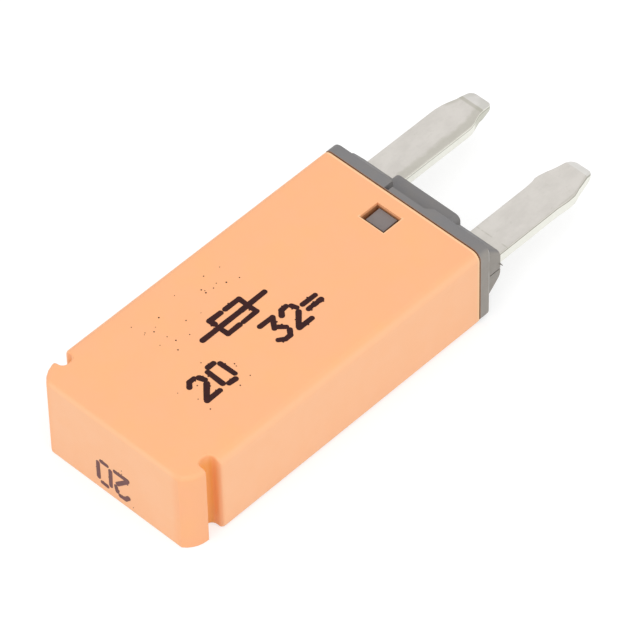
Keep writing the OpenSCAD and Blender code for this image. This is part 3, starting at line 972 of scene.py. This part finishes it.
# Outline of each blade as stamped: place from the seam, then how far the left and right edges stand
# from the blade's centre; the coined tip runs from the last place but one to the last
LEFT_OUTLINE = [(8.45, -1.31, 1.3), (8.75, -1.28, 1.3), (9.05, -1.24, 1.27), (9.35, -1.17, 1.19),
                (9.7, -1.06, 1.05), (10.05, -0.95, 0.93), (10.43, -0.88, 0.89), (11.3, -0.82, 0.76)]
RIGHT_OUTLINE = [(7.6, -1.17, 1.36), (8.15, -1.21, 1.41), (8.45, -1.28, 1.43), (8.75, -1.26, 1.42),
                 (9.05, -1.19, 1.4), (9.35, -1.12, 1.3), (9.65, -1.02, 1.18), (10.0, -0.93, 1.09),
                 (10.62, -0.8, 0.92), (11.22, -0.68, 0.78)]


def blade_blank(name, side, outline, sizes):
    """One blade from its shoulder to its coined tip, pulled out section by section along its outline."""
    centre, thick = side * sizes.pitch / 2, sizes.thick / 2
    first, left, right = outline[0]
    piece = block(name, (centre + left, SEAM_Y + sizes.shoulder, MID_Z - thick),
                  (centre + right, SEAM_Y + first, MID_Z + thick))
    choose(piece, "FACE", lambda f: f.normal.y > 0.9)
    for place, new_left, new_right in outline[1:]:
        thinner = sizes.tip_thick / sizes.thick if place == outline[-1][0] else 1
        pull_out((0, place - first, 0))
        bpy.ops.transform.resize(value=((new_right - new_left) / (right - left), 1, thinner),
                                 center_override=(centre + (left + right) / 2, 0, MID_Z))
        bpy.ops.transform.translate(value=((new_left + new_right - left - right) / 2, 0, 0))
        first, left, right = place, new_left, new_right
    tip_y = SEAM_Y + first
    tip_round = sizes.tip_round
    round_edges(piece, runs_along(2, lambda p: p.y > tip_y - NEAR and p.x < centre), tip_round * 1.2, 5)
    round_edges(piece, runs_along(2, lambda p: p.y > tip_y - NEAR and p.x > centre), tip_round * 0.75, 4)

    def rim(edge):
        a, b = (v.co for v in edge.verts)
        beyond = max(a.y, b.y) > SEAM_Y + sizes.shoulder + 0.1
        return beyond and abs(a.z - b.z) < 0.3 and edge.calc_face_angle(0) > math.radians(50)
    round_edges(piece, rim, sizes.roll, 3)
    crease_y = SEAM_Y + outline[-2][0]

    def crease(edge):
        return all(abs(v.co.y - crease_y) < 0.02 and abs(v.co.z - MID_Z) > thick - NEAR for v in edge.verts)
    choose(piece, "EDGE", crease)
    bpy.ops.mesh.mark_sharp()
    let_go()
    return piece


class FUSE_OT_blades(bpy.types.Operator):
    """Models both stamped terminals: blade, stem, foot and contact pad"""
    bl_idname = "fuse.blades"
    bl_label = "Model the blades"

    def execute(self, context):
        s = in_mm(context.scene.fuse_blade)
        half = s.thick / 2
        inner = s.pitch / 2 - s.width / 2
        stem = s.stem
        root_y = SEAM_Y + s.shoulder + 0.2
        wide, stops_y = s.stop_wide, BASE_LOW.y
        stops_end = stops_y - s.stop_long
        low_z, top_z = MID_Z - half, MID_Z + half

        left = blade_blank("blade_left", -1, LEFT_OUTLINE, s)
        foot_y = LEFT_LOW.y
        part = block("stem", (-inner - stem, foot_y, low_z), (-inner, root_y, top_z))
        combine(left, part, "UNION")
        part = block("foot", (-inner - stem, foot_y, low_z),
                     (s.foot_reach, foot_y + s.foot_long, top_z))
        round_edges(part, runs_along(2, lambda p: p.x > 2), 0.3, 4)
        combine(left, part, "UNION")
        part = block("stops", (-inner - stem - wide, stops_end, low_z), (-inner + wide, stops_y, top_z))
        combine(left, part, "UNION")
        tidy_faces(left)
        # The pale colour stands in for reflected light on the side faces, the dark one is painted shade in
        # lines along the rolled edge
        pale, dark = (0.86, 0.86, 0.79), (0.25, 0.24, 0.19)
        place = {"Centre_X": -s.pitch / 2, "Right_edge": 1.3, "Taper_start": SEAM_Y + 9.0, "Band": 0.75,
                 "Front_Z": top_z, "Tip_ridge": SEAM_Y + LEFT_OUTLINE[-2][0], "Tip_fall": 0.23, "Root": 9.2}
        # Band and Left: painted shade along the front's edges
        tones = [("Band", 0.47, s.shade),
                 ("Left", 0.4, s.shade),
                 # Ridge: painted shade before the tip's crease
                 ("Ridge", 0.5, s.shade),
                 ("Tip", 0.35, (0.76, 0.76, 0.75)),
                 # Side: painted reflection, the side faces pale
                 ("Side", 0.9, pale),
                 # Fade: painted shade on the taper's side faces
                 ("Fade", 0.75, (0.5, 0.5, 0.42)),
                 # Line: painted highlight under the rolled edge
                 ("Line", 0.4, (0.95, 0.95, 0.85)),
                 # Bead: painted shade line on the side face
                 ("Bead", 0.5, dark)]
        finish = tinned_sheet("Tinned brass left", s, sheet_group(), shade_group(), place, tones)
        finish_piece(left, finish, "fuse", "tinned_metal", "terminal_left")

        right = blade_blank("blade_right", 1, RIGHT_OUTLINE, s)
        part = block("stem", (inner, stops_end, low_z), (inner + stem, root_y, top_z))
        choose(part, "FACE", lambda f: f.normal.y < -0.9)
        pad_low, pad_high = RIGHT_LOW.y, RIGHT_LOW.y + s.pad_long
        pull_out((0, pad_high - stops_end, -s.pad_drop))
        pull_out((0, pad_low - pad_high, 0))
        choose(part, "FACE", lambda f: f.normal.x < -0.9 and f.calc_center_median().y < pad_high)
        pull_out((RIGHT_LOW.x - inner, 0, 0))
        round_edges(part, runs_along(2, lambda p: p.x < RIGHT_LOW.x + NEAR), 0.3, 4)
        combine(right, part, "UNION")
        part = block("stops", (inner - wide, stops_end, low_z), (inner + stem + wide, stops_y, top_z))
        combine(right, part, "UNION")
        hole = disc(32, s.rivet_hole, 4, (0, (pad_low + pad_high) / 2, MID_Z))
        combine(right, hole, "DIFFERENCE")
        tidy_faces(right)
        place = {"Centre_X": s.pitch / 2, "Right_edge": 1.38, "Taper_start": SEAM_Y + 9.1, "Band": 0.16,
                 "Front_Z": top_z, "Tip_ridge": SEAM_Y + RIGHT_OUTLINE[-2][0], "Tip_fall": 0.33, "Root": 9.5,
                 "Line_growth": 0.04}
        # Foot: painted shade towards the collar
        tones = [("Foot", 0.22, s.shade),
                 # Band: painted shade along the right edge
                 ("Band", 0.3, s.shade),
                 ("Tip", 0.5, (0.78, 0.78, 0.76)),
                 # Side: painted reflection, the side faces pale
                 ("Side", 0.9, pale),
                 # Line: painted shade under the rolled edge
                 ("Line", 0.75, dark),
                 ("Root", 0.6, s.shade)]
        finish = tinned_sheet("Tinned brass right", s, sheet_group(), shade_group(), place, tones)
        finish_piece(right, finish, "fuse", "tinned_metal", "terminal_right")
        return {"FINISHED"}


# Strokes of the plain marks, on a cell four wide and six high
STROKES = {
    "0": [[(1.2, 6), (2.8, 6)], [(3.9, 5.0), (4, 1.0)], [(2.9, 0), (1.1, 0)], [(0, 0.9), (0.1, 5.1)]],
    "2": [[(0, 4.9), (1, 6), (2.6, 6)], [(3.6, 5.4), (4, 4.2)], [(3.5, 3.2), (0.3, 0.5)], [(0, 0), (4, 0)]],
    "3": [[(0, 6), (4, 6), (1.9, 3.6)], [(2.7, 3.4), (4, 2.2)], [(4, 1.1), (2.8, 0), (1.2, 0), (0, 0.8)]],
    "direct": [[(0, 3.9), (4, 3.9)], [(0, 2.2), (0.7, 2.2)], [(1.7, 2.2), (2.4, 2.2)],
               [(3.4, 2.2), (4.1, 2.2)]],
    "fuse": [[(0, 3), (4.6, 3), (12.4, 3), (20, 3)], [(5.2, 4.2), (5.2, 5.5), (8.6, 5.5)],
             [(10.2, 5.5), (14.6, 5.5), (14.6, 3.8)], [(14.6, 2.3), (14.6, 0.5), (10.4, 0.5)],
             [(9, 0.5), (5.2, 0.5), (5.2, 2)]],
}


def draw_stroke(points, radius, thick):
    """A flat rounded stroke through points, as a closed film that stands on the XY plane."""
    parts = []
    for a, b in zip(points, points[1:]):
        run = Vector(b) - Vector(a)
        part = disc(14, radius, thick, (0, 0, thick / 2))
        choose(part, "VERT", lambda v: v.co.x > 1e-4)
        bpy.ops.transform.translate(value=(run.length, 0, 0))
        let_go()
        turn = Matrix.Rotation(math.atan2(run.y, run.x), 4, "Z")
        part.matrix_world = Matrix.Translation((a[0], a[1], 0)) @ turn
        take(part)
        bpy.ops.object.transform_apply()
        parts.append(part)
    for other in parts[1:]:
        combine(parts[0], other, "UNION")
    return parts[0]


def print_marks(name, marks, width, height, stroke, film, spots, chance):
    """Prints marks at their cells' corners, with stray spots, as one flat film on the XY plane."""
    scale_u, scale_v = width / 4, height / 6
    pieces = []
    for mark, (u, v) in marks:
        for line in STROKES[mark]:
            points = [(u + a * scale_u + chance.uniform(-0.02, 0.02),
                       v + b * scale_v + chance.uniform(-0.02, 0.02)) for a, b in line]
            pieces.append(draw_stroke(points, stroke / 2 * chance.uniform(0.93, 1.07), film))
            a, b = chance.choice(list(zip(points, points[1:])))
            share, off = chance.random(), chance.choice((-1, 1)) * stroke * 0.5
            run = (Vector(b) - Vector(a)).normalized()
            spots.append((a[0] + (b[0] - a[0]) * share - run.y * off,
                          a[1] + (b[1] - a[1]) * share + run.x * off, chance.uniform(0.04, 0.07)))
    whole = pieces[0]
    for other in pieces[1:]:
        combine(whole, other, "UNION")
    for u, v, size in spots:
        combine(whole, disc(9, size, film, (u, v, film / 2)), "UNION")
    whole.name = whole.data.name = name
    return whole


def lay(piece, axes, origin):
    """Turns a film from the XY plane onto a face of the case."""
    turn = Matrix([Vector(a) for a in axes]).transposed().to_4x4()
    piece.matrix_world = Matrix.Translation(origin) @ turn
    take(piece)
    bpy.ops.object.transform_apply()


class FUSE_OT_print(bpy.types.Operator):
    """Prints plain marks on the front and the closed end: numbers, a direct-current and a fuse sign"""
    bl_idname = "fuse.print_marks"
    bl_label = "Print the marks"

    def execute(self, context):
        s = in_mm(context.scene.fuse_print)
        film = s.film
        chance = random.Random(s.seed)
        height = s.height
        width = 1.0
        row_low, row_high = -2.52, 0.0
        front = [("2", (-18.55, row_low)), ("0", (-17.05, row_low)),
                 ("3", (-12.55, row_low)), ("2", (-11.1, row_low)), ("direct", (-9.7, row_low)),
                 ("fuse", (-15.5, row_high))]
        spots = []
        # How many stray spots fall in each field, and its limits along and across the front
        fields = ((20, -18.0, -9.0, 2.2, 4.9), (12, -19.4, -15.0, -3.4, 2.0))
        for count, low_u, high_u, low_v, high_v in fields:
            for _ in range(count):
                spots.append((chance.uniform(low_u, high_u), chance.uniform(low_v, high_v),
                              chance.uniform(0.02, 0.05)))
        marks = print_marks("print_front", front, width, height, s.stroke, film, spots, chance)
        lay(marks, ((0, 1, 0), (-1, 0, 0), (0, 0, 1)), (0, SEAM_Y, COVER_HIGH.z - film))
        grain = grain_group()
        finish = ink("Black ink", s.colour, [c * 1.9 for c in s.colour], grain)
        finish_piece(marks, finish, "fuse", "cover_plastic")

        end = [("2", (-1.2, -2.45)), ("0", (0.2, -2.45))]
        spots = [(chance.uniform(-1.6, 1.6), chance.uniform(-3.0, -0.4), 0.03) for _ in range(6)]
        marks = print_marks("print_end", end, width, height * 1.06, s.end_stroke, film, spots, chance)
        lay(marks, ((-1, 0, 0), (0, 0, -1), (0, -1, 0)), (0, COVER_LOW.y + film, 0))
        finish = ink("Thin ink", s.thin_colour, [c * 1.5 for c in s.thin_colour], grain)
        finish_piece(marks, finish, "fuse", "cover_plastic")
        return {"FINISHED"}


class FUSE_OT_inner(bpy.types.Operator):
    """Finishes the pieces inside the case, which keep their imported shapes"""
    bl_idname = "fuse.inner"
    bl_label = "Finish the inner pieces"

    def execute(self, context):
        sheet = sheet_group()
        strip = inner_metal("Bimetal", (0.52, 0.49, 0.43), (0.6, 0.55, 0.46), sheet, 0.3, 0.02)
        silver = inner_metal("Silver alloy", (0.82, 0.8, 0.76), (0.88, 0.87, 0.84), sheet, 0.25, 0.05)
        for node, finish in (("bimetal_strip", strip), ("moving_contact", silver), ("fixed_contact", silver)):
            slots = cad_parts[node].material_slots
            if not slots:
                raise RuntimeError(f"{node} has no material slot")
            for slot in slots:
                slot.material = finish
        return {"FINISHED"}


def lamp(name, place, aim, size, power):
    """A large square lamp that looks at a point."""
    let_go()
    bpy.ops.object.light_add(type="AREA", location=place)
    light = bpy.context.object
    light.name = light.data.name = name
    light.rotation_euler = (Vector(aim) - Vector(place)).to_track_quat("-Z", "Y").to_euler()
    light.data.size = size
    light.data.energy = power


def seen_rays(tree):
    """1 where the camera sees a surface, itself or in a reflection, and 0 where it only lights others."""
    path = tree.nodes.new("ShaderNodeLightPath")
    seen = calc(tree, "MAXIMUM", path.outputs["Is Camera Ray"], path.outputs["Is Glossy Ray"])
    return calc(tree, "MAXIMUM", seen, path.outputs["Is Transmission Ray"])


class FUSE_OT_stage(bpy.types.Operator):
    """Sets the floor, the sky, the lamps and the camera"""
    bl_idname = "fuse.stage"
    bl_label = "Set the stage"

    def execute(self, context):
        s = context.scene.fuse_stage
        scene = context.scene
        scene.view_settings.view_transform = "Standard"

        let_go()
        bpy.ops.mesh.primitive_plane_add(size=3, location=(0, 0, -0.00002))
        floor = context.object
        floor.name = "floor"
        material = bpy.data.materials.new("Floor")
        material.use_nodes = True
        tree = material.node_tree
        tree.nodes.clear()
        seen = seen_rays(tree)
        bounce = tree.nodes.new("ShaderNodeBsdfDiffuse")
        bounce.inputs["Color"].default_value = (s.floor_bounce, s.floor_bounce, s.floor_bounce, 1)
        shade = tree.nodes.new("ShaderNodeBsdfDiffuse")
        shade.inputs["Color"].default_value = (s.floor_shade, s.floor_shade, s.floor_shade, 1)
        glow = tree.nodes.new("ShaderNodeEmission")
        glow.inputs["Strength"].default_value = s.floor_glow
        add = tree.nodes.new("ShaderNodeAddShader")
        tree.links.new(glow.outputs[0], add.inputs[0])
        tree.links.new(shade.outputs[0], add.inputs[1])
        mix = tree.nodes.new("ShaderNodeMixShader")
        tree.links.new(seen, mix.inputs[0])
        tree.links.new(bounce.outputs[0], mix.inputs[1])
        tree.links.new(add.outputs[0], mix.inputs[2])
        out = tree.nodes.new("ShaderNodeOutputMaterial")
        tree.links.new(mix.outputs[0], out.inputs["Surface"])
        floor.data.materials.append(material)

        world = bpy.data.worlds.new("Sky")
        scene.world = world
        world.use_nodes = True
        tree = world.node_tree
        tree.nodes.clear()
        seen = seen_rays(tree)
        sky = tree.nodes.new("ShaderNodeBackground")
        sky.inputs["Color"].default_value = (1, 1, 1, 1)
        tree.links.new(calc(tree, "MULTIPLY_ADD", seen, 1.0 - s.sky, s.sky), sky.inputs["Strength"])
        out = tree.nodes.new("ShaderNodeOutputWorld")
        tree.links.new(sky.outputs[0], out.inputs["Surface"])

        lamp("key", (0.1, -0.1, 0.6), (0, 0, 0), 0.5, s.key)
        lamp("fill_end", (-0.1, -0.55, 0.28), (0, 0, 0), 0.45, s.fill)
        lamp("fill_side", (0.55, 0.05, 0.28), (0, 0, 0), 0.45, s.fill)

        turn, lift, roll = (math.radians(a) for a in (s.azimuth, s.elevation, s.roll))
        back = Vector((math.sin(turn) * math.cos(lift), -math.cos(turn) * math.cos(lift), math.sin(lift)))
        right = Vector((math.cos(turn), math.sin(turn), 0))
        up = back.cross(right)
        right, up = right * math.cos(roll) + up * math.sin(roll), up * math.cos(roll) - right * math.sin(roll)
        let_go()
        bpy.ops.object.camera_add()
        camera = context.object
        camera.name = "camera"
        place = -s.aside * right - s.above * up + s.distance * back + Vector((0, SEAM_Y * MM, 0))
        axes = Matrix((right, up, back)).transposed().to_4x4()
        camera.matrix_world = Matrix.Translation(place) @ axes
        camera.data.sensor_width = 36
        camera.data.lens = s.lens
        camera.data.clip_start = 0.01
        scene.camera = camera
        return {"FINISHED"}


STEPS = (FUSE_OT_case, FUSE_OT_base, FUSE_OT_blades, FUSE_OT_print, FUSE_OT_inner, FUSE_OT_stage)


class FUSE_PT_tools(bpy.types.Panel):
    """Lists the steps that build the fuse"""
    bl_label = "Automotive fuse"
    bl_idname = "FUSE_PT_tools"
    bl_space_type = "VIEW_3D"
    bl_region_type = "UI"
    bl_category = "Fuse"

    def draw(self, context):
        for step in STEPS:
            self.layout.operator(step.bl_idname, text=step.bl_label)


GROUPS = {"fuse_case": FuseCaseSizes, "fuse_base": FuseBaseSizes, "fuse_blade": FuseBladeSizes,
          "fuse_print": FusePrintSizes, "fuse_stage": FuseStageSettings}


def register():
    for cls in (*GROUPS.values(), *STEPS, FUSE_PT_tools):
        bpy.utils.register_class(cls)
    for name, cls in GROUPS.items():
        setattr(bpy.types.Scene, name, PointerProperty(type=cls))


def unregister():
    for name in GROUPS:
        delattr(bpy.types.Scene, name)
    for cls in (FUSE_PT_tools, *reversed(STEPS), *reversed(list(GROUPS.values()))):
        bpy.utils.unregister_class(cls)


def main():
    register()
    bpy.ops.fuse.stage()
    bpy.ops.fuse.case()
    bpy.ops.fuse.base()
    bpy.ops.fuse.blades()
    bpy.ops.fuse.print_marks()
    bpy.ops.fuse.inner()


if __name__ == "__main__":
    main()
